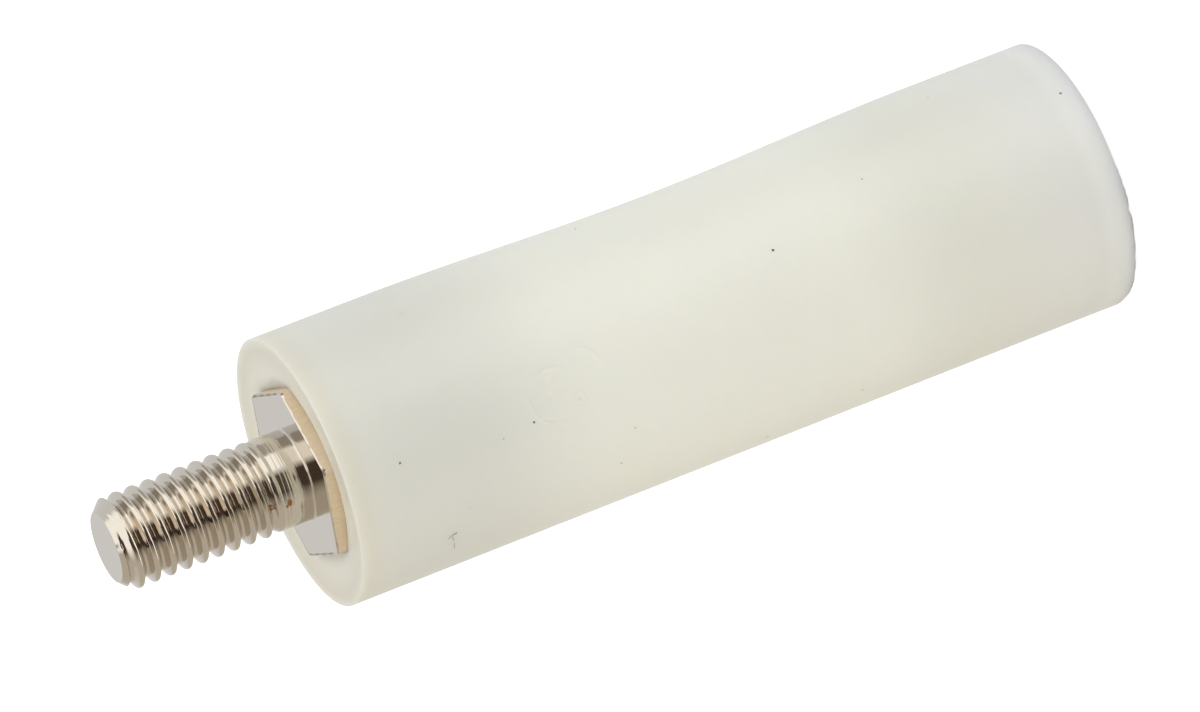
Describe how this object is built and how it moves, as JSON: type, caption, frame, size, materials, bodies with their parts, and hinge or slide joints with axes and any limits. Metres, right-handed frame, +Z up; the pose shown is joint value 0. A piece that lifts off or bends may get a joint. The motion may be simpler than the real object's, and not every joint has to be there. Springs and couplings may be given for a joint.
{
  "type": "round threaded spacer",
  "caption": "Round moulded nylon spacer with a male metal stud at one end and a female threaded insert at the other, for holding two panels apart.",
  "frame": {"origin": "centre of the face that the part stands on, at the mouth of the threaded hole", "axes": "+Z up along the spacer's axis, towards the stud; -Y is the side with the mould's gate mark; +X is the slightly sunk side"},
  "size_m": [0.0114, 0.0114, 0.0437],
  "materials": {
    "natural_nylon": "moulded, translucent milky white with a slight warm tint",
    "nickel_plate": "bright nickel plate on turned steel"
  },
  "bodies": {
    "root": {"spacer_body": "natural_nylon", "stud_insert": "nickel_plate", "threaded_insert": "nickel_plate"}
  },
  "joints": []
}
